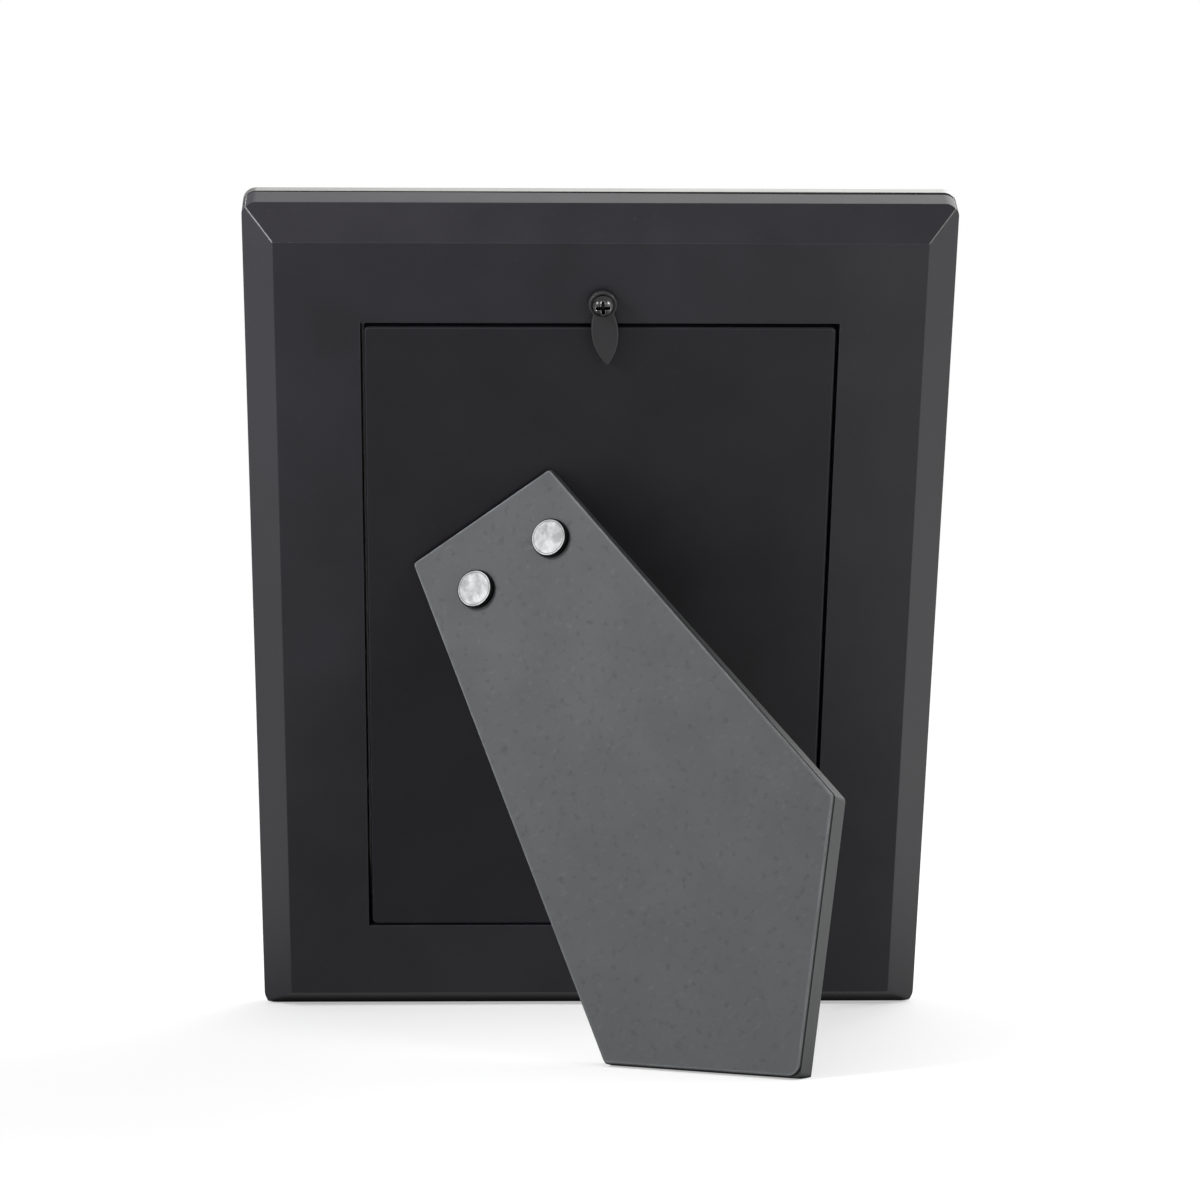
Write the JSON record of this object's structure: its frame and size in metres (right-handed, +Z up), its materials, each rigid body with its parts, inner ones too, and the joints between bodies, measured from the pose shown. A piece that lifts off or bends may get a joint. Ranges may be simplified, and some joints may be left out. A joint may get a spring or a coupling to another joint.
{
  "type": "easel back photo frame",
  "caption": "Leaning photo frame with a bright metal front, a bevelled black back shell, a removable panel and a slanted folding easel leg.",
  "frame": {"origin": "centre of the bounding box's underside: the surface that the frame stands on", "axes": "+Z up, the frame's back and its leg towards -Y, its picture side towards +Y, +X to the right as seen from behind"},
  "size_m": [0.156, 0.1408, 0.1894],
  "materials": {
    "silver_metal": "bright satin",
    "black_shell": "fine satin",
    "black_panel": "matt",
    "clear_glass": "clear",
    "print_paper": "smooth, blank",
    "greyboard": "uncoated",
    "foam": "open foam",
    "dark_metal": "satin black",
    "black_screw": "black oxide",
    "steel": "zinc plated",
    "bright_rivet": "brushed",
    "grey_board": "satin",
    "grey_face": "satin"
  },
  "bodies": {
    "frame": {"back_frame": "black_shell", "front_frame": "silver_metal", "glass_pane": "clear_glass", "photo_card": "print_paper", "backing_board": "greyboard", "filler_pad": "foam", "back_panel": "black_panel", "turn_button_washer": "dark_metal", "turn_button_screw": "black_screw", "panel_hinge_leaf": "steel", "hinge_pin": "steel", "panel_rivets": "bright_rivet"},
    "leg": {"leg_hinge_leaf": "steel", "leg_body": "grey_board", "leg_face": "grey_face", "leg_rivets": "bright_rivet"},
    "button": {"turn_button": "dark_metal"}
  },
  "joints": [
    {"name": "easel_hinge", "type": "hinge", "parent": "frame", "child": "leg", "pos_m": [-0.02239, -0.00359, 0.11543], "axis": [-0.7864, 0.2814, -0.5499], "range_deg": [-46.54, 0]},
    {"name": "button_turn", "type": "hinge", "parent": "frame", "child": "button", "pos_m": [0.00045, -0.02912, 0.1639], "axis": [0, -0.8902, -0.4555], "continuous": true}
  ]
}
